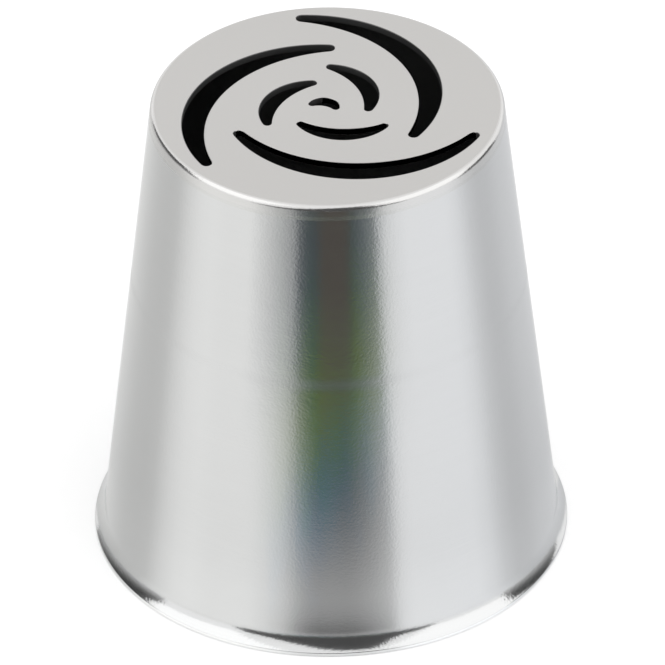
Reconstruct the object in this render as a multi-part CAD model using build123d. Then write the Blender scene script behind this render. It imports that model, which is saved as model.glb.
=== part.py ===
from build123d import *
import os
from math import atan, cos, degrees, radians, tan

os.makedirs("parts", exist_ok=True)

# Piping nozzle of thin stainless sheet: a tapered shell with a flared lip, closed at its narrow
# end by a pressed cap whose flat face is cut with a rose of curved slots. A ring weld joins
# the two. The nozzle stands on its lip with the face up, and its axis is Z. Millimetres.

# Taper
height = 37.0                    # base plane to face
mouth_diameter = 33.85           # outside of the taper where it would meet the base plane
face_diameter = 25.75            # outside of the taper where it would meet the face plane
wall = 0.5                       # sheet thickness, the same all over

# Lip at the wide end
lip_angle = 48.0                 # slope of the lip from the axis, degrees
flare_radius = 1.5               # bend between taper and lip, on its tight side
lip_straight = 0.21              # straight part of the lip's inside, from the bend to the base plane
rim_land = 0.29                  # height of the upright edge that the lip is trimmed to

# Cap
skirt_length = 0.35              # straight part of the skirt's inside, below the face's sheet

# Ring weld between skirt and shell
weld_width = 0.3                 # along the axis
weld_root = 0.12                 # how far the bead stands proud of the wall inside

# Rose: two rings of petals, the copies of one ring turned about the axis, round a single bud.
# Each slot is a crescent between two arcs. The outer arc, its back, is part of a circle that lies
# inside the ring's own circle and touches it in one direction only, so that the petals wind
# outwards. The inner arc, its hollow, runs between the same two horns. Directions are in degrees
# from +X, and a spread is the angle from a crescent's middle to a horn, about its back's centre.
petals_per_ring = 3
rose_margin = 0.2                # from the outer ring's circle to where the shoulder begins
inner_ring_share = 0.427         # of the outer ring's circle
bud_ring_share = 0.1225          # of the outer ring's circle

outer_back_share = 0.813         # of the ring's circle
outer_touch_direction = 133.8
outer_middle_direction = 27.8
outer_spread = 82.9
outer_width = 2.0                # of the slot at its middle
outer_tip_radius = 0.4           # rounding of the horns

inner_back_share = 0.751
inner_touch_direction = 96.0
inner_middle_direction = 26.3
inner_spread = 74.8
inner_width = 1.42
inner_tip_radius = 0.31

bud_back_share = 0.779
bud_touch_direction = 213.0
bud_middle_direction = 72.9
bud_spread = 110.7
bud_width = 1.05
bud_tip_radius = 0.27

mouth_r = mouth_diameter / 2
face_r = face_diameter / 2
taper_slope = (mouth_r - face_r) / height
taper_angle = degrees(atan(taper_slope))
taper_wall = wall / cos(radians(taper_angle))    # wall measured level instead of square


def outside(z):
    """Radius of the taper's outside at a height."""
    return mouth_r - taper_slope * z


def inside(z):
    """Radius of the taper's inside at a height."""
    return outside(z) - taper_wall


def bend_run(radius, turn):
    """Distance from a corner to where its bend starts, for a turn in degrees."""
    return radius * tan(radians(turn) / 2)


shoulder_radius = wall    # the bend is pressed sharp inside, so outside it is as round as the sheet is thick
rose_r = face_r - bend_run(shoulder_radius, 90 - taper_angle) - rose_margin
skirt_z = height - wall - skirt_length * cos(radians(taper_angle))
shell_z = skirt_z - weld_width


def corner(face, point):
    """The corner of a flat outline that lies at a point."""
    return face.vertices().sort_by_distance(Vector(*point))[0]


def turned(profile):
    """Solid made by turning an outline of (radius, height) points about the axis."""
    return revolve(Plane.XZ * profile, Axis.Z)


def tapered_shell():
    """Taper and flared lip, one sheet thick. The base plane trims the lip flat."""
    lip_slope = tan(radians(lip_angle))
    lip_wall = wall / cos(radians(lip_angle))
    lip_run = bend_run(flare_radius + wall, lip_angle - taper_angle) + lip_straight
    inner_bend_z = lip_run * cos(radians(lip_angle))
    bend_z = inner_bend_z + (lip_wall - taper_wall) / (lip_slope - taper_slope)
    lip_r = outside(bend_z) + lip_slope * bend_z
    rim_r = lip_r - lip_slope * rim_land
    print("lip", round(2 * rim_r, 2), "mm across")

    bend_out = (outside(bend_z), bend_z)
    bend_in = (inside(inner_bend_z), inner_bend_z)
    profile = make_face(Polyline(
        (outside(shell_z), shell_z), bend_out, (rim_r, rim_land), (rim_r, 0),
        (lip_r - lip_wall, 0), bend_in, (inside(shell_z), shell_z), close=True))
    profile = fillet(corner(profile, bend_out), flare_radius)
    profile = fillet(corner(profile, bend_in), flare_radius + wall)
    return turned(profile)


def seam_weld():
    """Weld that fills the gap between skirt and shell: ground flush outside, a bead inside."""
    bead_z = (shell_z + skirt_z) / 2
    return turned(make_face(Polyline(
        (outside(shell_z), shell_z), (outside(skirt_z), skirt_z),
        (inside(skirt_z), skirt_z), (inside(bead_z) - weld_root, bead_z),
        (inside(shell_z), shell_z), close=True)))


def polar(distance, direction):
    """Point of the face at a distance from the axis, in a direction in degrees."""
    return Vector(distance, 0).rotate(Axis.Z, direction)


def crescent(ring_r, back_share, touch_direction, middle_direction, spread, width, tip_radius):
    """Outline of one slot inside its ring's circle, with both horns rounded."""
    back_r = back_share * ring_r
    centre = polar(ring_r - back_r, touch_direction)
    first = centre + polar(back_r, middle_direction - spread)
    last = centre + polar(back_r, middle_direction + spread)
    back = ThreePointArc(first, centre + polar(back_r, middle_direction), last)
    hollow = ThreePointArc(last, centre + polar(back_r - width, middle_direction), first)
    outline = make_face([back, hollow])
    return fillet(outline.vertices(), tip_radius)


def rose():
    """The slots' outlines on the face plane: both rings of petals, and the bud."""
    outer = crescent(
        rose_r, outer_back_share, outer_touch_direction,
        outer_middle_direction, outer_spread, outer_width, outer_tip_radius)
    inner = crescent(
        inner_ring_share * rose_r, inner_back_share, inner_touch_direction,
        inner_middle_direction, inner_spread, inner_width, inner_tip_radius)
    bud = crescent(
        bud_ring_share * rose_r, bud_back_share, bud_touch_direction,
        bud_middle_direction, bud_spread, bud_width, bud_tip_radius)
    step = 360 / petals_per_ring
    petals = [Rot(0, 0, step * turn) * petal for petal in (outer, inner) for turn in range(petals_per_ring)]
    return [*petals, bud]


def face_cap():
    """Pressed cap: slotted flat face, rounded shoulder, and a skirt that carries on the taper."""
    under_z = height - wall
    bend_out = (outside(height), height)
    profile = make_face(Polyline(
        (0, height), bend_out, (outside(skirt_z), skirt_z),
        (inside(skirt_z), skirt_z), (inside(under_z), under_z), (0, under_z), close=True))
    cap = turned(fillet(corner(profile, bend_out), shoulder_radius))
    for slot in rose():
        cap -= Pos(0, 0, height) * extrude(slot, 2 * wall, both=True)
    return cap


parts = {
    "tapered_shell": tapered_shell(),
    "seam_weld": seam_weld(),
    "face_cap": face_cap(),
}
for name, solid in parts.items():
    export_step(solid, f"parts/{name}.step")
    print(name, "volume", round(solid.volume, 2), "mm3")
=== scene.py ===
# %% [markdown]
# A large piping nozzle of thin stainless sheet, standing on its wide end. Its taper and lip are one
# pressed sheet, its slotted face is a shallow pressed cap, and a ring weld joins the two.
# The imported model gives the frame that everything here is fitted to, in metres, with Z up.

# %% Frame
from math import atan, atan2, ceil, cos, degrees, pi, radians, sin, sqrt, tan

import bpy
from mathutils import Euler, Matrix, Vector


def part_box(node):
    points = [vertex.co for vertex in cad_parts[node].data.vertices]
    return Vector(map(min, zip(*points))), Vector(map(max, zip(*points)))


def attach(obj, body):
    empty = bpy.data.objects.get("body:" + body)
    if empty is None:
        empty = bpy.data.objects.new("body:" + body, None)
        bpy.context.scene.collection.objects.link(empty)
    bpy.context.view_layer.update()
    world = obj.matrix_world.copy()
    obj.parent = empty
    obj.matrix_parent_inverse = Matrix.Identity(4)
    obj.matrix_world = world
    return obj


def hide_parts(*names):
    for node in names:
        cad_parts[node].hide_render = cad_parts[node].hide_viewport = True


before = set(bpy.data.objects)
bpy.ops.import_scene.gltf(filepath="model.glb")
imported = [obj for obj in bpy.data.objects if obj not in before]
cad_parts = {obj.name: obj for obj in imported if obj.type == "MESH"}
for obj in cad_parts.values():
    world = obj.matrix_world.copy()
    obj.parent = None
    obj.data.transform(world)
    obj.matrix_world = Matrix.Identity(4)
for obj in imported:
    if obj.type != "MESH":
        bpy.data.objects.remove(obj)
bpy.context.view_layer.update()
MM = 0.001

# %% [markdown]
# The sizes of the sheet come first. The heights and the lip's radius are read from the frame. The
# rest are the real sizes that the solids were made with, so that each mesh lies where its solid is.
# The rounding of the slots' edges is added here: it is too small to be worth solid faces.

# %% Sizes
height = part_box("face_cap")[1].z
shell_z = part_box("tapered_shell")[1].z
skirt_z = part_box("face_cap")[0].z
rim_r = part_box("tapered_shell")[1].x
mouth_r = 33.85 / 2 * MM
face_r = 25.75 / 2 * MM
wall = 0.5 * MM
lip_angle = radians(48.0)
flare_radius = 1.5 * MM
lip_straight = 0.21 * MM
shoulder_radius = wall
slot_edge_radius = 0.06 * MM

taper_slope = (mouth_r - face_r) / height
taper_angle = atan(taper_slope)
taper_wall = wall / cos(taper_angle)
lip_slope = tan(lip_angle)
lip_wall = wall / cos(lip_angle)
under_z = height - wall


def outside(z):
    """Radius of the taper's outside at a height."""
    return mouth_r - taper_slope * z


def inside(z):
    """Radius of the taper's inside at a height."""
    return outside(z) - taper_wall


def bend_run(radius, turn):
    """Distance from a corner to where its bend starts."""
    return radius * tan(turn / 2)


flat_r = face_r - bend_run(shoulder_radius, pi / 2 - taper_angle)
print("taper", round(degrees(taper_angle), 2), "degrees")
print("flat of the face", round(2 * flat_r / MM, 2), "mm across")

# %% [markdown]
# A node tree is easier to read when each node is one call. `add` makes a node of any type, puts
# its settings in first and then the values or links of its sockets. `Socket` wraps what comes
# out of a node, and its operators add Math nodes, so that a mask can be written as a sum.

# %% Nodes as expressions
class Socket:
    """One output of a node. Sums, products and powers of it add Math nodes to its tree."""

    def __init__(self, tree, output):
        self.tree = tree
        self.output = output

    def out(self, name):
        """Another output of the same node."""
        return Socket(self.tree, self.output.node.outputs[name])

    def math(self, operation, first, second=0.0):
        """A Math node on two values."""
        return add(self.tree, "ShaderNodeMath", {"operation": operation}, {0: first, 1: second})

    def __add__(self, other):
        return self.math("ADD", self, other)

    def __sub__(self, other):
        return self.math("SUBTRACT", self, other)

    def __mul__(self, other):
        return self.math("MULTIPLY", self, other)

    def __truediv__(self, other):
        return self.math("DIVIDE", self, other)

    def __lt__(self, other):
        return self.math("LESS_THAN", self, other)

    def __gt__(self, other):
        return self.math("GREATER_THAN", self, other)

    def __radd__(self, other):
        return self.math("ADD", other, self)

    def __rsub__(self, other):
        return self.math("SUBTRACT", other, self)

    def __rmul__(self, other):
        return self.math("MULTIPLY", other, self)


def add(tree, kind, settings=None, sockets=None, output=0):
    """Adds one node to a tree and returns one of its outputs."""
    node = tree.nodes.new(kind)
    for name, value in (settings or {}).items():
        if name == "stops":
            ramp = node.color_ramp.elements
            while len(ramp) < len(value):
                ramp.new(1.0)
            for stop, (position, colour) in zip(ramp, value):
                stop.position = position
                stop.color = colour
        else:
            setattr(node, name, value)
    for name, value in (sockets or {}).items():
        socket = node.inputs[name]
        if isinstance(value, list):
            for each in value:
                tree.links.new(each.output, socket)
        elif isinstance(value, Socket):
            tree.links.new(value.output, socket)
        else:
            socket.default_value = value
    return Socket(tree, node.outputs[output]) if node.outputs else None


print("node helpers ready")

# %% [markdown]
# A sheet that is turned about an axis is one outline carried round a circle. The outline is a
# polyline of corners, and each corner's radius is the radius of its bend, so a Fillet Curve node
# rounds them. Curve to Mesh then carries the outline round. The outline lies in place in the XZ
# plane. The tree first lays it flat, because Curve to Mesh takes its profile in X and Y, and moves it
# in by the radius of the circle that carries it.

# %% Tree for turned sheet
STEPS_ROUND = 256
STEPS_PER_BEND = 14
SHARP_EDGE = radians(40.0)


def new_tree(name, inputs):
    """An empty geometry tree with named inputs, and its group input node's outputs by name."""
    tree = bpy.data.node_groups.new(name, "GeometryNodeTree")
    tree.interface.new_socket("Mesh", in_out="OUTPUT", socket_type="NodeSocketGeometry")
    for label, kind in inputs.items():
        tree.interface.new_socket(label, in_out="INPUT", socket_type=kind)
    group = tree.nodes.new("NodeGroupInput")
    return tree, {label: Socket(tree, group.outputs[label]) for label in inputs}


def turned(tree, outline, rail_r, steps, bend_steps):
    """Nodes that carry an outline object round the axis."""
    curve = add(tree, "GeometryNodeObjectInfo", {}, {"Object": outline}, "Geometry")
    bent = add(tree, "GeometryNodeFilletCurve", {"mode": "POLY"}, {
        "Curve": curve, "Count": bend_steps, "Radius": add(tree, "GeometryNodeInputRadius")})
    back = add(tree, "ShaderNodeCombineXYZ", {}, {"X": 0.0 - rail_r})
    flat = add(tree, "GeometryNodeTransform", {}, {
        "Geometry": bent, "Translation": back, "Rotation": Euler((pi / 2, 0, 0))})
    rail = add(tree, "GeometryNodeCurvePrimitiveCircle", {}, {"Resolution": steps, "Radius": rail_r})
    return add(tree, "GeometryNodeCurveToMesh", {}, {"Curve": rail, "Profile Curve": flat})


def finished(tree, mesh, material):
    """Nodes that end a tree: sharp edges kept sharp, real geometry, and the material."""
    angle = add(tree, "GeometryNodeInputMeshEdgeAngle")
    shaded = add(tree, "GeometryNodeSetShadeSmooth", {"domain": "EDGE"}, {
        "Geometry": mesh, "Selection": angle > SHARP_EDGE, "Shade Smooth": False})
    real = add(tree, "GeometryNodeRealizeInstances", {}, {"Geometry": shaded})
    painted = add(tree, "GeometryNodeSetMaterial", {}, {"Geometry": real, "Material": material})
    add(tree, "NodeGroupOutput", {}, {"Mesh": painted})


sheet_tree, given = new_tree("turned_sheet", {
    "Outline": "NodeSocketObject", "Rail radius": "NodeSocketFloat", "Steps round": "NodeSocketInt",
    "Steps per bend": "NodeSocketInt", "Material": "NodeSocketMaterial"})
finished(sheet_tree, turned(
    sheet_tree, given["Outline"], given["Rail radius"], given["Steps round"], given["Steps per bend"]),
    given["Material"])
print("turned_sheet:", len(sheet_tree.nodes), "nodes")

# %% [markdown]
# The flat of the cap is a plate with holes. Cutting holes with a Boolean would leave ragged
# triangles, so the plate is a filled curve instead: a circle and the slots' outlines go into one Fill
# Curve node, which leaves the inner outlines open. The petals of a ring are copies turned about the
# axis, one on each of as many points.

# %% Helpers for the cap's tree
def ring_copies(tree, curves, count):
    """Nodes that set copies of curves evenly about the axis."""
    points = add(tree, "GeometryNodePoints", {}, {"Count": count})
    turn = add(tree, "GeometryNodeInputIndex") * (2 * pi) / count
    rotation = add(tree, "ShaderNodeCombineXYZ", {}, {"Z": turn})
    copies = add(tree, "GeometryNodeInstanceOnPoints", {}, {
        "Points": points, "Instance": curves, "Rotation": rotation})
    return add(tree, "GeometryNodeRealizeInstances", {}, {"Geometry": copies})


def moved_out(tree, curves, distance):
    """Nodes that move closed curves away from what they enclose."""
    tangent = add(tree, "GeometryNodeInputTangent")
    right = add(tree, "ShaderNodeVectorMath", {"operation": "CROSS_PRODUCT"}, {0: tangent, 1: (0, 0, 1)})
    step = add(tree, "ShaderNodeVectorMath", {"operation": "SCALE"}, {0: right, "Scale": distance})
    return add(tree, "GeometryNodeSetPosition", {}, {"Geometry": curves, "Offset": step})


def plate(tree, slots, radius, steps, level):
    """Nodes that fill a circle, less the slots, at a height."""
    edge = add(tree, "GeometryNodeCurvePrimitiveCircle", {}, {"Resolution": steps, "Radius": radius})
    both = add(tree, "GeometryNodeJoinGeometry", {}, {"Geometry": [edge, slots]})
    sheet = add(tree, "GeometryNodeFillCurve", {"mode": "TRIANGLES"}, {"Curve": both})
    place = add(tree, "ShaderNodeCombineXYZ", {}, {"Z": level})
    return add(tree, "GeometryNodeTransform", {}, {"Geometry": sheet, "Translation": place})


print("helpers for copies and plates ready")

# %% [markdown]
# The cap's tree starts as a turned sheet with its middle left out. Each slot's wall is the slot's
# curve swept by a small profile with a rounded upper corner, and the holes in the top are moved out
# by as much as the rounding takes. A narrow flat guard strip beside each bend keeps the shading of the
# flat face even. Merge by Distance then welds the parts into one closed mesh.

# %% Tree for the slotted cap
MERGE_DISTANCE = 0.001 * MM
STEPS_PER_SLOT_EDGE = 5
guard = 0.02 * MM

cap_tree, given = new_tree("slotted_cap", {
    "Rim outline": "NodeSocketObject", "Rail radius": "NodeSocketFloat",
    "Outer petal": "NodeSocketObject", "Inner petal": "NodeSocketObject", "Bud": "NodeSocketObject",
    "Slot edge": "NodeSocketObject", "Petals per ring": "NodeSocketInt",
    "Top radius": "NodeSocketFloat", "Under radius": "NodeSocketFloat",
    "Face height": "NodeSocketFloat", "Wall": "NodeSocketFloat", "Edge width": "NodeSocketFloat",
    "Steps round": "NodeSocketInt", "Steps per bend": "NodeSocketInt", "Material": "NodeSocketMaterial"})
one_petal_each = [
    add(cap_tree, "GeometryNodeObjectInfo", {}, {"Object": given[name]}, "Geometry")
    for name in ("Outer petal", "Inner petal")]
petals = ring_copies(
    cap_tree, add(cap_tree, "GeometryNodeJoinGeometry", {}, {"Geometry": one_petal_each}),
    given["Petals per ring"])
bud = add(cap_tree, "GeometryNodeObjectInfo", {}, {"Object": given["Bud"]}, "Geometry")
slots = add(cap_tree, "GeometryNodeJoinGeometry", {}, {"Geometry": [petals, bud]})
edge = add(cap_tree, "GeometryNodeObjectInfo", {}, {"Object": given["Slot edge"]}, "Geometry")
rounded_edge = add(cap_tree, "GeometryNodeFilletCurve", {"mode": "POLY"}, {
    "Curve": edge, "Count": STEPS_PER_SLOT_EDGE, "Radius": add(cap_tree, "GeometryNodeInputRadius")})
walls = add(cap_tree, "GeometryNodeCurveToMesh", {}, {"Curve": slots, "Profile Curve": rounded_edge})
up = add(cap_tree, "ShaderNodeCombineXYZ", {}, {"Z": given["Face height"]})
walls = add(cap_tree, "GeometryNodeTransform", {}, {"Geometry": walls, "Translation": up})
top = plate(
    cap_tree, moved_out(cap_tree, slots, given["Edge width"]),
    given["Top radius"], given["Steps round"], given["Face height"])
under = plate(
    cap_tree, slots, given["Under radius"], given["Steps round"], given["Face height"] - given["Wall"])
under = add(cap_tree, "GeometryNodeFlipFaces", {}, {"Mesh": under})
rim = turned(
    cap_tree, given["Rim outline"], given["Rail radius"], given["Steps round"], given["Steps per bend"])
whole = add(cap_tree, "GeometryNodeJoinGeometry", {}, {"Geometry": [rim, top, walls, under]})
welded = add(cap_tree, "GeometryNodeMergeByDistance", {}, {"Geometry": whole, "Distance": MERGE_DISTANCE})
finished(cap_tree, welded, given["Material"])
print("slotted_cap:", len(cap_tree.nodes), "nodes")

# %% [markdown]
# Curves and modifiers are only helpers here. `polyline` makes a curve object whose point radii
# hold the bend radii, and `made_by` runs a tree once and keeps the plain mesh that it gives.

# %% Helpers for curves and pieces
def polyline(name, corners, closed=True):
    """A curve object from corners (x, y, z, bend radius)."""
    curve = bpy.data.curves.new(name, "CURVE")
    curve.dimensions = "3D"
    spline = curve.splines.new("POLY")
    spline.points.add(len(corners) - 1)
    for point, (x, y, z, bend) in zip(spline.points, corners):
        point.co = (x, y, z, 1.0)
        point.radius = bend
    spline.use_cyclic_u = closed
    helper = bpy.data.objects.new(name, curve)
    bpy.context.scene.collection.objects.link(helper)
    return helper


def section(name, corners, closed=True):
    """A section in the XZ plane from corners (radius, height, bend radius)."""
    return polyline(name, [(r, 0.0, z, bend) for r, z, bend in corners], closed)


def made_by(tree, name, values):
    """The mesh that a tree makes from its inputs, as an object of its own."""
    holder = bpy.data.objects.new(name + "_maker", bpy.data.meshes.new(name + "_maker"))
    bpy.context.scene.collection.objects.link(holder)
    modifier = holder.modifiers.new("tree", "NODES")
    modifier.node_group = tree
    inputs = {i.name: i.identifier for i in tree.interface.items_tree if i.in_out == "INPUT"}
    for label, value in values.items():
        modifier[inputs[label]] = value
    evaluated = holder.evaluated_get(bpy.context.evaluated_depsgraph_get())
    mesh = bpy.data.meshes.new_from_object(evaluated)
    bpy.data.objects.remove(holder)
    mesh.name = name
    piece = bpy.data.objects.new(name, mesh)
    bpy.context.scene.collection.objects.link(piece)
    mesh.calc_loop_triangles()
    print(name + ":", len(mesh.loop_triangles), "triangles")
    return piece


print("curve helpers ready")

# %% [markdown]
# A material is a node tree too. One helper starts it with a Principled shader and one feeds that
# shader's sockets. The others make what the finishes are built from: noise, eased steps and mixes.

# %% Helpers for materials
def new_material(name):
    """An empty material, its tree and its shader."""
    material = bpy.data.materials.new(name)
    material.use_nodes = True
    tree = material.node_tree
    tree.nodes.clear()
    shader = tree.nodes.new("ShaderNodeBsdfPrincipled")
    output = tree.nodes.new("ShaderNodeOutputMaterial")
    tree.links.new(shader.outputs[0], output.inputs["Surface"])
    return material, tree, shader


def feed(tree, shader, **sockets):
    """Sets or links sockets of a shader by name."""
    for name, value in sockets.items():
        socket = shader.inputs[name.replace("_", " ")]
        if isinstance(value, Socket):
            tree.links.new(value.output, socket)
        else:
            socket.default_value = value


def noise(tree, place, scale, detail=2.0, stretch=(1, 1, 1)):
    """Noise between about 0.2 and 0.8 on stretched coordinates, with a scale per unit of them."""
    stretched = add(tree, "ShaderNodeMapping", {}, {"Vector": place, "Scale": stretch})
    return add(tree, "ShaderNodeTexNoise", {}, {
        "Vector": stretched, "Scale": scale, "Detail": detail}, "Fac")


def eased(tree, value, low, high, to_low=0.0, to_high=1.0):
    """A value eased from one range to another."""
    return add(tree, "ShaderNodeMapRange", {"interpolation_type": "SMOOTHSTEP"}, {
        "Value": value, "From Min": low, "From Max": high, "To Min": to_low, "To Max": to_high})


def mixed(tree, factor, first, second):
    """A colour between two colours."""
    return add(tree, "ShaderNodeMix", {"data_type": "RGBA"}, {0: factor, 6: first, 7: second}, 2)


def length(tree, x, y):
    """Distance from the axis."""
    return add(tree, "ShaderNodeMath", {"operation": "SQRT"}, {0: x * x + y * y})


print("material helpers ready")

# %% [markdown]
# Some places look different from the polished outside: the inside and the faces that look down were never
# polished, so they are rougher, and they are also painted dark as shade; the face was blasted fine; and
# the slots' walls and the underside of the face are painted near black as shade. Masks find these places
# by where a point lies and by which way it faces, as values from 0 to 1.

# %% Masks
def ring_mask(tree, z, level, width):
    """1 at a height, fading to 0 at a distance of width above and below."""
    away = add(tree, "ShaderNodeMath", {"operation": "ABSOLUTE"}, {0: z - level})
    return eased(tree, away, 0.0, width, 1.0, 0.0)


def inward_mask(tree, x, y):
    """1 where the surface faces the axis or downwards."""
    geometry = add(tree, "ShaderNodeNewGeometry", {}, {}, "Normal")
    normal = add(tree, "ShaderNodeSeparateXYZ", {}, {0: geometry})
    outward = normal * x + normal.out("Y") * y
    down = normal.out("Z") < -0.7
    return add(tree, "ShaderNodeMath", {"operation": "MAXIMUM"}, {0: outward < -1.0 * MM, 1: down})


def face_mask(tree, radius, z):
    """1 on the flat of the face, easing to 0 on the shoulder."""
    flat = eased(tree, radius, flat_r + 0.1 * MM, flat_r + 0.3 * MM, 1.0, 0.0)
    return (z > height - 0.1 * MM) * flat


def slot_shade_mask(radius, z):
    """1 on the slots' walls, below the rounding of their edges, and under the face: the places painted
    near black as shade.
    """
    return (radius < flat_r - 0.1 * MM) * (z < height - 0.8 * slot_edge_radius)


print("masks ready")

# %% [markdown]
# Satin steel is metal all through, so its look is in how it scatters light. Fine lines round the axis
# from polishing on a lathe widen reflections up and down more than sideways: a Principled shader's
# anisotropy gives that, and its unlinked tangent already runs round the axis. The lines are noise that
# changes fast with height and slowly round the axis. A much finer noise gives the grain of the sheet,
# and a slower one its faint ripples. The polish is duller in soft patches and in two rings of the
# shell, one above its middle and a faint one near the lip.

# %% Steel
FACE_COLOUR = (0.595, 0.585, 0.571)
# The slots' walls and the underside of the face are painted near black as shade, and the inside dark grey
# as shade.
SLOT_SHADE_COLOUR = (0.013, 0.013, 0.014)
INSIDE_SHADE_COLOUR = (0.16, 0.16, 0.16)
FACE_ROUGHNESS = 0.34
INSIDE_ROUGHNESS = 0.5
LINE_DEPTH = 0.001 * MM
GRAIN_DEPTH = 0.0055 * MM


def steel(name, colour, roughness, anisotropic, ripple_depth, rings=(), cap=False):
    """Steel that was polished on a lathe, or blasted fine on the flat face of the cap."""
    material, tree, shader = new_material(name)
    place = add(tree, "ShaderNodeTexCoord", {}, {}, "Object")
    x = add(tree, "ShaderNodeSeparateXYZ", {}, {0: place})
    y, z = x.out("Y"), x.out("Z")
    lines = noise(tree, place, scale=1200.0, stretch=(0.1, 0.1, 8.0))
    bands = noise(tree, place, scale=300.0, stretch=(0.05, 0.05, 1.0))
    smudges = noise(tree, place, scale=160.0, detail=3.0)
    ripple = noise(tree, place, scale=900.0, stretch=(0.8, 0.8, 1.0)) * eased(tree, z, 7.0 * MM, 16.0 * MM)
    grain = noise(tree, place, scale=5600.0, detail=1.0)
    inner = inward_mask(tree, x, y)
    polish = roughness + 0.05 * (bands - 0.5) + 0.05 * (smudges - 0.5) + 0.03 * (lines - 0.5)
    for level, width, rise in rings:
        polish = polish + rise * ring_mask(tree, z, level, width)
    grey = 1.0 + 0.04 * (lines - 0.5) + 0.03 * (smudges - 0.5)
    tone = add(tree, "ShaderNodeVectorMath", {"operation": "SCALE"}, {0: colour, "Scale": grey})
    if cap:
        radius = length(tree, x, y)
        face = face_mask(tree, radius, z)
        blasting = noise(tree, place, scale=5200.0)
        tone = mixed(tree, face, tone, (*FACE_COLOUR, 1.0))
        # The slots' walls and the underside of the face are painted near black here as shade.
        tone = mixed(tree, slot_shade_mask(radius, z), tone, (*SLOT_SHADE_COLOUR, 1.0))
        polish = polish * (1.0 - face) + face * (FACE_ROUGHNESS + 0.06 * (blasting - 0.5))
        lines = lines * (1.0 - face) + face * blasting
        ripple = ripple * (1.0 - face) + 0.5 * face
        grain = grain * (1.0 - face) + 0.5 * face
    # The inside and the faces that look down are painted dark grey here as shade, and made rougher.
    tone_with_painted_shade = mixed(tree, inner, tone, (*INSIDE_SHADE_COLOUR, 1.0))
    rough = polish * (1.0 - inner) + INSIDE_ROUGHNESS * inner
    relief = lines + (ripple_depth / LINE_DEPTH) * ripple + (GRAIN_DEPTH / LINE_DEPTH) * grain
    bump = add(tree, "ShaderNodeBump", {}, {"Strength": 1.0, "Distance": LINE_DEPTH, "Height": relief})
    feed(tree, shader, Base_Color=tone_with_painted_shade, Roughness=rough, Normal=bump, Metallic=1.0,
         Anisotropic=anisotropic, Anisotropic_Rotation=0.25)
    return material


shell_steel = steel(
    "shell_steel", (0.76, 0.765, 0.765), roughness=0.14, anisotropic=0.62, ripple_depth=0.006 * MM,
    rings=[(22.3 * MM, 0.8 * MM, 0.10), (3.2 * MM, 1.5 * MM, 0.03)])
weld_steel = steel(
    "weld_steel", (0.76, 0.76, 0.75), roughness=0.26, anisotropic=0.6, ripple_depth=0.004 * MM)
cap_steel = steel(
    "cap_steel", (0.77, 0.765, 0.755), roughness=0.2, anisotropic=0.4, ripple_depth=0.004 * MM, cap=True)
print("materials:", shell_steel.name, weld_steel.name, cap_steel.name)

# %% [markdown]
# The shell is pressed from one sheet: a taper, and a lip that flares out at the wide end so that
# the nozzle can't slip through the bag. The base plane trims the lip, and its edges are rounded off.
# Pressing thickens the sheet a little on the tight side of a bend, which softens the bend there.
# The section below is the sheet's outline, cut through on one side of the axis.

# %% Shell
land_round = 0.08 * MM
softened_radius = 2.2 * MM
lip_run = bend_run(flare_radius + wall, lip_angle - taper_angle) + lip_straight
inner_bend_z = lip_run * cos(lip_angle)
bend_z = inner_bend_z + (lip_wall - taper_wall) / (lip_slope - taper_slope)
lip_r = outside(bend_z) + lip_slope * bend_z
rim_land = (lip_r - rim_r) / lip_slope
shell_section = section("shell_section", [
    (inside(shell_z), shell_z, 0.0), (outside(shell_z), shell_z, 0.0),
    (outside(bend_z), bend_z, softened_radius), (rim_r, rim_land, land_round),
    (rim_r, 0.0, land_round), (lip_r - lip_wall, 0.0, 0.5 * land_round),
    (inside(inner_bend_z), inner_bend_z, flare_radius + wall)])
shell = made_by(sheet_tree, "nozzle_shell", {
    "Outline": shell_section, "Rail radius": mouth_r, "Steps round": STEPS_ROUND,
    "Steps per bend": STEPS_PER_BEND, "Material": shell_steel})

# %% [markdown]
# The weld fills the gap between the shell and the cap. It was ground flush outside, where it shows
# only as a paler line, and is left as a low bead inside. It is turned by the same tree as the shell.

# %% Weld
weld_root = 0.12 * MM
bead_z = (shell_z + skirt_z) / 2
weld_section = section("weld_section", [
    (inside(skirt_z), skirt_z, 0.0), (outside(skirt_z), skirt_z, 0.0),
    (outside(shell_z), shell_z, 0.0), (inside(shell_z), shell_z, 0.0),
    (inside(bead_z) - weld_root, bead_z, weld_root)])
weld = made_by(sheet_tree, "ring_weld", {
    "Outline": weld_section, "Rail radius": face_r, "Steps round": STEPS_ROUND,
    "Steps per bend": STEPS_PER_BEND, "Material": weld_steel})

# %% [markdown]
# Each slot is a crescent: its back is part of a circle, its hollow is a flatter arc between the same
# two horns, and both horns are rounded. The hollow's circle goes through both horns and through the
# inner middle of the slot. A horn's rounding touches the back from inside and the hollow from outside,
# so its centre lies where two circles cross, one smaller than the back's by the rounding and one
# larger than the hollow's by as much.

# %% Helpers for slots
POINT_SPACING = 0.18 * MM


def polar(distance, direction):
    """Point at a distance from the axis, in a direction in degrees from +X."""
    return Vector((distance * cos(radians(direction)), distance * sin(radians(direction))))


def arc(centre, radius, start, sweep):
    """Points along an arc, without its last one."""
    count = max(6, ceil(abs(sweep) * radius / POINT_SPACING))
    angles = [start + sweep * i / count for i in range(count)]
    return [centre + radius * Vector((cos(a), sin(a))) for a in angles]


def heading(a, b):
    """Direction from one point to another, in radians."""
    return atan2(b.y - a.y, b.x - a.x)


def sweep_between(start, end, sign):
    """Turn from one direction to another, anticlockwise for a sign of 1."""
    return sign * ((sign * (end - start)) % (2 * pi))


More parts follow.
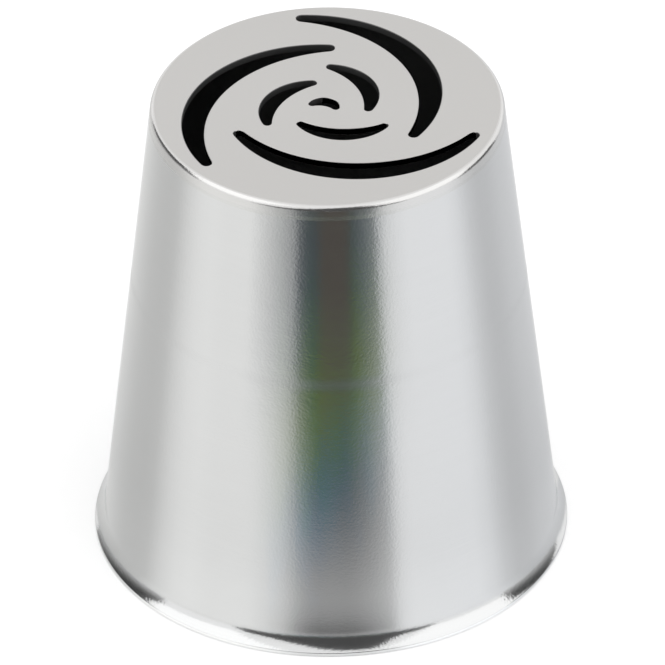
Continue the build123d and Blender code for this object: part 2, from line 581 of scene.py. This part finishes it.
def hollow_circle(back_r, spread, width):
    """Centre and radius of the hollow's circle, with the centre as a distance from the back's."""
    inner = back_r - width
    reach, rise = back_r * cos(radians(spread)), back_r * sin(radians(spread))
    away = (inner ** 2 - reach ** 2 - rise ** 2) / (2 * (inner - reach))
    return away, inner - away


def crossings(first, first_r, second, second_r, apart):
    """The two points where circles about two centres cross."""
    along = (apart ** 2 + first_r ** 2 - second_r ** 2) / (2 * apart)
    aside = sqrt(first_r ** 2 - along ** 2)
    axis = (second - first).normalized()
    side = Vector((-axis.y, axis.x))
    return first + along * axis + aside * side, first + along * axis - aside * side


print("slot helpers ready")

# %% [markdown]
# The rose has two rings of petals round one bud. The back's circle of each petal lies inside a circle
# round the whole ring and touches it in one direction only, so that the petals wind outwards as a
# rose's do. One petal of each ring is drawn here, and the cap's tree copies it.

# %% Slots
PETALS_PER_RING = 3
rose_r = flat_r - 0.2 * MM
inner_ring_r = 0.427 * rose_r
bud_ring_r = 0.1225 * rose_r


def crescent(ring_r, back_share, touch_direction, middle_direction, spread, width, tip_r):
    """Outline of one slot, anticlockwise: back, last horn, hollow, first horn."""
    back_r = back_share * ring_r
    back = polar(ring_r - back_r, touch_direction)
    away, hollow_r = hollow_circle(back_r, spread, width)
    hollow = back + polar(away, middle_direction)
    first, last = crossings(back, back_r - tip_r, hollow, hollow_r + tip_r, abs(away))
    if (last - first).dot(polar(1.0, middle_direction + 90)) < 0:
        first, last = last, first
    back_first, back_last = heading(back, first), heading(back, last)
    first_hollow, last_hollow = heading(first, hollow), heading(last, hollow)
    hollow_first, hollow_last = heading(hollow, first), heading(hollow, last)
    points = arc(back, back_r, back_first, sweep_between(back_first, back_last, 1))
    points += arc(last, tip_r, back_last, sweep_between(back_last, last_hollow, 1))
    points += arc(hollow, hollow_r, hollow_last, sweep_between(hollow_last, hollow_first, -1))
    points += arc(first, tip_r, first_hollow, sweep_between(first_hollow, back_first, 1))
    return points


def slot_curve(name, *sizes):
    """A slot's outline from the sizes of its crescent, as a closed curve object at z = 0."""
    points = crescent(*sizes)
    print(name + ":", len(points), "points")
    return polyline(name, [(p.x, p.y, 0.0, 1.0) for p in points])


outer_petal = slot_curve("outer_petal", rose_r, 0.813, 133.8, 27.8, 82.9, 2.0 * MM, 0.4 * MM)
inner_petal = slot_curve("inner_petal", inner_ring_r, 0.751, 96.0, 26.3, 74.8, 1.42 * MM, 0.31 * MM)
bud_slot = slot_curve("bud_slot", bud_ring_r, 0.779, 213.0, 72.9, 110.7, 1.05 * MM, 0.27 * MM)

# %% [markdown]
# The cap brings the pieces of its tree together: the turned rim with the rounded shoulder and the
# skirt, the flat face with its slots, their walls, and the underside.

# %% Cap
under_flat_r = inside(under_z) - guard
cap_rim_section = section("cap_rim_section", [
    (flat_r - guard, height, 0.0), (face_r, height, shoulder_radius),
    (outside(skirt_z), skirt_z, 0.0), (inside(skirt_z), skirt_z, 0.0),
    (inside(under_z), under_z, 0.0), (under_flat_r, under_z, 0.0)], closed=False)
slot_edge = polyline("slot_edge", [
    (0.0, wall, 0.0, 0.0), (0.0, 0.0, 0.0, slot_edge_radius),
    (slot_edge_radius + guard, 0.0, 0.0, 0.0)], closed=False)
cap = made_by(cap_tree, "slotted_cap", {
    "Rim outline": cap_rim_section, "Rail radius": face_r, "Outer petal": outer_petal,
    "Inner petal": inner_petal, "Bud": bud_slot, "Slot edge": slot_edge,
    "Petals per ring": PETALS_PER_RING, "Top radius": flat_r - guard, "Under radius": under_flat_r,
    "Face height": height, "Wall": wall, "Edge width": slot_edge_radius + guard,
    "Steps round": STEPS_ROUND, "Steps per bend": STEPS_PER_BEND, "Material": cap_steel})

# %% [markdown]
# The helper curves have done their work. Each piece then takes the place of its solid and rides on the one
# body.

# %% Pieces to bodies
for helper in [o for o in bpy.data.objects if o.type == "CURVE"]:
    bpy.data.objects.remove(helper)
for piece, node, slot in (
        (shell, "tapered_shell", "shell_steel"), (weld, "seam_weld", "weld_steel"),
        (cap, "face_cap", "cap_steel")):
    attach(piece, "root")
    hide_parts(node)
    print(piece.name, "stands for", node)

# %% [markdown]
# The camera stands far off, so the picture has hardly any perspective. Its lens is given in pixels,
# which don't depend on the size of the sensor. The camera's three directions are worked out one by
# one: it is turned a little to the side, looks down, and is rolled by half a degree.

# %% Camera
PHOTO_SIDE = 665
LENS_PX = 14010.0
middle_px = (329.25, 312.1)
camera_elevation = radians(35.66)
camera_turn = radians(-0.48)
camera_roll = radians(-0.54)
camera_distance = 1.0286

level_right = Vector((cos(camera_turn), sin(camera_turn), 0))
front = Vector((sin(camera_turn), -cos(camera_turn), 0))
to_camera = front * cos(camera_elevation) + Vector((0, 0, sin(camera_elevation)))
level_up = to_camera.cross(level_right)
right = level_right * cos(camera_roll) + level_up * sin(camera_roll)
up = level_up * cos(camera_roll) - level_right * sin(camera_roll)
pixel = camera_distance / LENS_PX
aim = Vector((0, 0, height / 2))
aim += right * (PHOTO_SIDE / 2 - middle_px[0]) * pixel
aim -= up * (PHOTO_SIDE / 2 - middle_px[1]) * pixel
lens = bpy.data.cameras.new("camera")
lens.lens = LENS_PX * lens.sensor_width / PHOTO_SIDE
lens.clip_start = 0.05
lens.clip_end = 50.0
camera = bpy.data.objects.new("camera", lens)
directions = Matrix((right, up, to_camera)).transposed().to_4x4()
camera.matrix_world = Matrix.Translation(aim + to_camera * camera_distance) @ directions
bpy.context.scene.collection.objects.link(camera)
bpy.context.scene.camera = camera
bpy.context.scene.view_settings.view_transform = "Standard"
print("camera", round(lens.lens, 1), "mm lens,", camera_distance, "m away")

# %% [markdown]
# A bright metal shows what stands round it, so the studio is part of the picture. The floor and
# the sky are white. A card and screens that only reflections can see stand in for a photographer's
# flags. Bearings are in degrees: 0 is the front, and 90 the right.

# %% Studio
def plain_surface(name, colour):
    """A matt material of one colour, for the studio."""
    material, tree, shader = new_material(name)
    feed(tree, shader, Base_Color=(*colour, 1.0), Roughness=1.0)
    shader.inputs["Specular IOR Level"].default_value = 0.0
    return material, tree, shader


def staged(name, points, faces):
    """A mesh object of the studio."""
    mesh = bpy.data.meshes.new(name)
    mesh.from_pydata(points, [], faces)
    thing = bpy.data.objects.new(name, mesh)
    bpy.context.scene.collection.objects.link(thing)
    return thing


def strip_faces(columns, rows):
    """Faces of a grid of points that is stored row by row."""
    corners = ((0, 0), (0, 1), (1, 1), (1, 0))
    return [
        tuple((j + dj) * columns + i + di for dj, di in corners)
        for j in range(rows - 1) for i in range(columns - 1)]


def way_at(bearing):
    """Level direction of a bearing."""
    return Vector((sin(radians(bearing)), -cos(radians(bearing)), 0.0))


def only_reflected(card):
    """Hides a card from everything but reflections."""
    card.visible_camera = False
    card.visible_diffuse = False
    card.visible_shadow = False
    card.visible_transmission = False
    card.visible_volume_scatter = False


print("studio helpers ready")

# %% [markdown]
# The floor is one wide white disc. It keeps the nozzle's soft shadow, and glows a little to the camera
# alone, so that it comes out as white as in a studio without more light on the object.

# %% Floor
FLOOR_RADIUS = 4.0
FLOOR_STEPS = 96
FLOOR_GLOW = 0.2

ways = [way_at(360 * i / FLOOR_STEPS) for i in range(FLOOR_STEPS + 1)]
floor = staged(
    "floor", [r * way for r in (0.0, FLOOR_RADIUS) for way in ways], strip_faces(len(ways), 2))
floor_paint, tree, shader = plain_surface("floor_paint", (0.90, 0.90, 0.90))
seen = add(tree, "ShaderNodeLightPath", {}, {}, "Is Camera Ray")
glow = add(tree, "ShaderNodeCombineXYZ", {}, {axis: FLOOR_GLOW * seen for axis in "XYZ"})
feed(tree, shader, Emission_Color=glow)
shader.inputs["Emission Strength"].default_value = 1.0
floor.data.materials.append(floor_paint)
print("floor", 2 * FLOOR_RADIUS, "m across")

# %% [markdown]
# Each point of the taper mirrors one point of the floor to the camera. So the card on the floor is
# laid out by bearings and heights on the taper: each of its points lies where the taper mirrors it, and
# two attributes keep its bearing and height. A paint that reads them then says directly which tone the
# taper shows at which place. A last row of points carries the card on, past what the taper mirrors.

# %% Floor card
CARD_LIFT = 0.05 * MM
CARD_BEARING = 88.0
CARD_STEPS_A_SIDE = 88
CARD_HEIGHTS = (0.2 * MM, height, 160 * MM)


def mirrored(bearing, z):
    """The floor point that the taper mirrors to the camera, at a bearing and a height on it."""
    normal = way_at(bearing) * cos(taper_angle) + Vector((0, 0, sin(taper_angle)))
    way = 2 * to_camera.dot(normal) * normal - to_camera
    start = way_at(bearing) * outside(min(z, height)) + Vector((0, 0, z))
    return start - way * (z - CARD_LIFT) / way.z


bearings = [CARD_BEARING * (i / CARD_STEPS_A_SIDE - 1) for i in range(2 * CARD_STEPS_A_SIDE + 1)]
card = staged(
    "floor_card", [mirrored(b, z) for z in CARD_HEIGHTS for b in bearings],
    strip_faces(len(bearings), len(CARD_HEIGHTS)))
for label, values in (
        ("bearing", [b for z in CARD_HEIGHTS for b in bearings]),
        ("height_mm", [z / MM for z in CARD_HEIGHTS for b in bearings])):
    card.data.attributes.new(label, "FLOAT", "POINT").data.foreach_set("value", values)
only_reflected(card)
print("floor card:", len(card.data.polygons), "faces")

# %% [markdown]
# The card's tones come first. The sides are pale greys by bearing. A dark lane lies in front, a little
# wider low on the taper than high, and its tone goes by height: it is darkest high on the taper, which
# mirrors the floor far in front, and palest near the lip. A narrow band of the lane a little above the
# lip, from about 1.3 to 2.6 mm up the taper, is darker as a painted shadow of the floor close to the lip.

# %% Tones of the card
def toned(tree, value, *stops):
    """A colour by a value, from stops (value, grey level) or (value, red, green, blue)."""
    low, high = stops[0][0], stops[-1][0]
    spread = add(tree, "ShaderNodeMapRange", {}, {"Value": value, "From Min": low, "From Max": high})
    ramp = []
    for at, *tone in stops:
        colour = tone * 3 if len(tone) == 1 else tone
        ramp.append(((at - low) / (high - low), (*colour, 1.0)))
    return add(tree, "ShaderNodeValToRGB", {"stops": ramp}, {"Fac": spread})


card_paint, tree, shader = plain_surface("floor_card_paint", (0.9, 0.9, 0.9))
bearing = add(tree, "ShaderNodeAttribute", {"attribute_name": "bearing"}, {}, "Fac")
level = add(tree, "ShaderNodeAttribute", {"attribute_name": "height_mm"}, {}, "Fac")
sides = toned(
    tree, bearing, (-88, 0.79), (-80, 0.74), (-74, 0.685), (-68, 0.63), (-61, 0.61), (-56, 0.63),
    (-50, 0.80), (-45, 0.895), (-40, 0.92), (-34, 0.895), (34, 0.91), (40, 0.91), (45, 0.84),
    (50, 0.70), (55, 0.625), (60, 0.63), (68, 0.69), (80, 0.715), (88, 0.73))
lane_high = toned(
    tree, bearing, (-26, 0.0), (-22, 0.19), (-18, 0.38), (-14, 0.56), (-12, 0.64), (-10.8, 0.76),
    (-9.6, 0.93), (-8, 0.97), (-6, 1.0), (6, 1.0), (10, 0.93), (13.2, 0.84), (14.2, 0.74),
    (15.5, 0.49), (17, 0.28), (18.5, 0.17), (21, 0.08), (25, 0.0))
lane_low = toned(
    tree, bearing, (-24, 0.0), (-22, 0.02), (-18, 0.14), (-14, 0.35), (-11.8, 0.53), (-9.3, 0.77),
    (-7.6, 0.87), (-6, 0.94), (-4, 0.985), (3, 1.0), (5.5, 0.97), (8.8, 0.88), (11.3, 0.77),
    (13.8, 0.63), (15, 0.50), (16, 0.32), (17.2, 0.17), (18.5, 0.07), (21, 0.0))
lane = mixed(tree, eased(tree, level, 16.0, 29.0), lane_low, lane_high)
# The dip in the lane's tone from 1.3 to 2.6 mm is a painted shadow of the floor close to the lip.
depth = toned(
    tree, level, (0, 0.62), (0.9, 0.6), (1.3, 0.17), (1.7, 0.18), (2.6, 0.28), (3.2, 0.36),
    (4.2, 0.385), (6, 0.35), (8.4, 0.265), (11, 0.18), (13.4, 0.132), (16, 0.11), (21, 0.108),
    (26, 0.083), (32, 0.075), (60, 0.073))
print("card tones: pale sides, and a dark lane in front")

# %% [markdown]
# A dark lane of plain grey would look dead, so it gets soft hues, as surroundings out of focus have.
# A ramp from blue over green to blue again is read by height, and a slow noise shifts it from place to
# place. The middle of the lane stays a warm brown higher up. Hues multiply the tones, by Vector Math.

# %% Hues of the card
across = add(tree, "ShaderNodeCombineXYZ", {}, {"X": 0.3 * bearing, "Y": level})
wander = noise(tree, across, scale=0.9, detail=3.0)
elsewhere = add(tree, "ShaderNodeVectorMath", {}, {0: across, 1: (40, 40, 0)})
blots = noise(tree, elsewhere, scale=0.75, detail=3.0)
hues = toned(
    tree, level - 0.25 * bearing + 24.0 * (blots - 0.5), (8, 1, 1, 1), (11, 0.9, 1.0, 1.15),
    (14, 0.6, 1.05, 1.5), (17.5, 0.55, 1.35, 0.95), (20, 1.0, 1.6, 0.25), (23, 1.2, 1.45, 0.15),
    (26, 0.6, 1.45, 0.5), (29, 0.55, 1.15, 1.15), (32, 0.85, 0.9, 1.5), (36, 0.9, 1.05, 1.1))
off_middle = add(tree, "ShaderNodeMath", {"operation": "ABSOLUTE"}, {0: bearing - 1.0})
narrow = eased(tree, off_middle + 9.0 * (wander - 0.5), 3.5, 6.0, 1.0, 0.0)
middle = narrow * eased(tree, level, 19.0, 27.0)
tint = mixed(tree, middle, hues, (1.12, 0.99, 0.9, 1))
dark = add(tree, "ShaderNodeVectorMath", {"operation": "MULTIPLY"}, {0: depth, 1: tint})
cool = mixed(tree, eased(tree, bearing, -30.0, 50.0), (1, 1, 0.99, 1), (0.98, 0.99, 1.01, 1))
light = add(tree, "ShaderNodeVectorMath", {"operation": "MULTIPLY"}, {0: sides, 1: cool})
print("card hues: blues and greens in the lane, brown in its middle")

# %% [markdown]
# The nozzle shades the floor close to its lip, so the card glows a little to make up for it: its pale
# sides over some millimetres of the taper, and all of it in a thin band right beside the lip.

# %% Paint of the card
beside_lane = 0.11 * (1.0 - lane) * eased(tree, level, 1.0, 9.0, 1.0, 0.0)
close = beside_lane + 0.4 * eased(tree, level, 0.6, 1.1, 1.0, 0.0)
glow = add(tree, "ShaderNodeVectorMath", {"operation": "SCALE"}, {0: light, "Scale": close})
feed(tree, shader, Base_Color=mixed(tree, lane, light, dark), Emission_Color=glow)
shader.inputs["Emission Strength"].default_value = 1.0
card.data.materials.append(card_paint)
print(card_paint.name + ":", len(tree.nodes), "nodes")

# %% [markdown]
# Dark screens stand where the bends at the lip and at the shoulder look past the floor: one in front
# and one at each side. Their tops are given as bearings and elevations from the lip. The ones at the
# sides grow darker upwards, and the one at the right stands nearer, so that the lip shows it more
# than the shoulder does. A bend mirrors everything from the floor to the sky in a millimetre, so the
# screens show only as thin dark crescents.

# %% Screens
def screen(name, paint, distance, tops):
    """An upright screen on the floor, from its top's bearings and elevations."""
    ways = [distance * way_at(bearing) for bearing, _ in tops]
    rises = [Vector((0, 0, (distance - rim_r) * tan(radians(elevation)))) for _, elevation in tops]
    thing = staged(name, ways + [w + r for w, r in zip(ways, rises)], strip_faces(len(tops), 2))
    thing.data.materials.append(paint)
    only_reflected(thing)


front_paint = plain_surface("front_screen_paint", (0.085, 0.085, 0.085))[0]
side_paint, tree, shader = plain_surface("side_screen_paint", (0.1, 0.1, 0.1))
place = add(tree, "ShaderNodeTexCoord", {}, {}, "Object")
x = add(tree, "ShaderNodeSeparateXYZ", {}, {0: place})
reach = length(tree, x, x.out("Y")) - rim_r
feed(tree, shader, Base_Color=toned(
    tree, x.out("Z") / reach, (0.0, 0.48), (0.09, 0.42), (0.17, 0.28), (0.25, 0.17), (0.34, 0.095),
    (0.45, 0.06), (0.9, 0.05)))
screen("front_screen", front_paint, distance=0.41, tops=[
    (-44, 7), (-36, 13), (-27, 19), (-20, 27), (-13, 35), (-8, 43), (0, 49), (10, 52), (22, 51),
    (27, 25), (31, 14), (40, 10), (46, 5)])
screen("left_screen", side_paint, distance=0.41, tops=[
    (-136, 18), (-126, 33), (-104, 38), (-98, 32), (-92, 25), (-85, 18), (-82, 5)])
screen("right_screen", side_paint, distance=0.12, tops=[
    (79, 5), (83, 19), (88, 30), (94, 32), (112, 31), (115, 19), (119, 8)])
print("three dark screens")

# %% [markdown]
# The light is a white sky and three soft boxes. The camera and the reflections see the sky at full
# white, while it lights matt surfaces a little less, which leaves room for the light of the boxes. The
# box above lights matt surfaces only: the face would mirror it.

# %% Light
SKY_ON_MATT = 0.8
world = bpy.data.worlds.new("studio")
bpy.context.scene.world = world
world.use_nodes = True
tree = world.node_tree
tree.nodes.clear()
path = add(tree, "ShaderNodeLightPath", {}, {}, "Is Camera Ray")
seen = path + path.out("Is Glossy Ray") + path.out("Is Transmission Ray")
whole = add(tree, "ShaderNodeMath", {"operation": "MINIMUM"}, {0: seen, 1: 1.0})
strength = SKY_ON_MATT + (1.0 - SKY_ON_MATT) * whole
sky = add(tree, "ShaderNodeBackground", {}, {"Color": (1, 1, 1, 1), "Strength": strength})
add(tree, "ShaderNodeOutputWorld", {}, {"Surface": sky})


def softbox(name, bearing, elevation, distance, size, radiance):
    """A square area lamp that faces the nozzle."""
    lamp = bpy.data.lights.new(name, "AREA")
    lamp.shape = "SQUARE"
    lamp.size = size
    lamp.energy = radiance * pi * size ** 2
    holder = bpy.data.objects.new(name, lamp)
    way = way_at(bearing) * cos(radians(elevation)) + Vector((0, 0, sin(radians(elevation))))
    holder.location = Vector((0, 0, height / 2)) + distance * way
    holder.rotation_euler = way.to_track_quat("Z", "Y").to_euler()
    bpy.context.scene.collection.objects.link(holder)
    return holder


softbox("left_softbox", bearing=-68, elevation=40, distance=0.8, size=0.7, radiance=0.30)
softbox("right_softbox", bearing=66, elevation=32, distance=0.8, size=0.75, radiance=0.24)
top_box = softbox("top_softbox", bearing=20, elevation=75, distance=0.9, size=0.6, radiance=1.45)
top_box.visible_glossy = False
print("white sky and three softboxes")
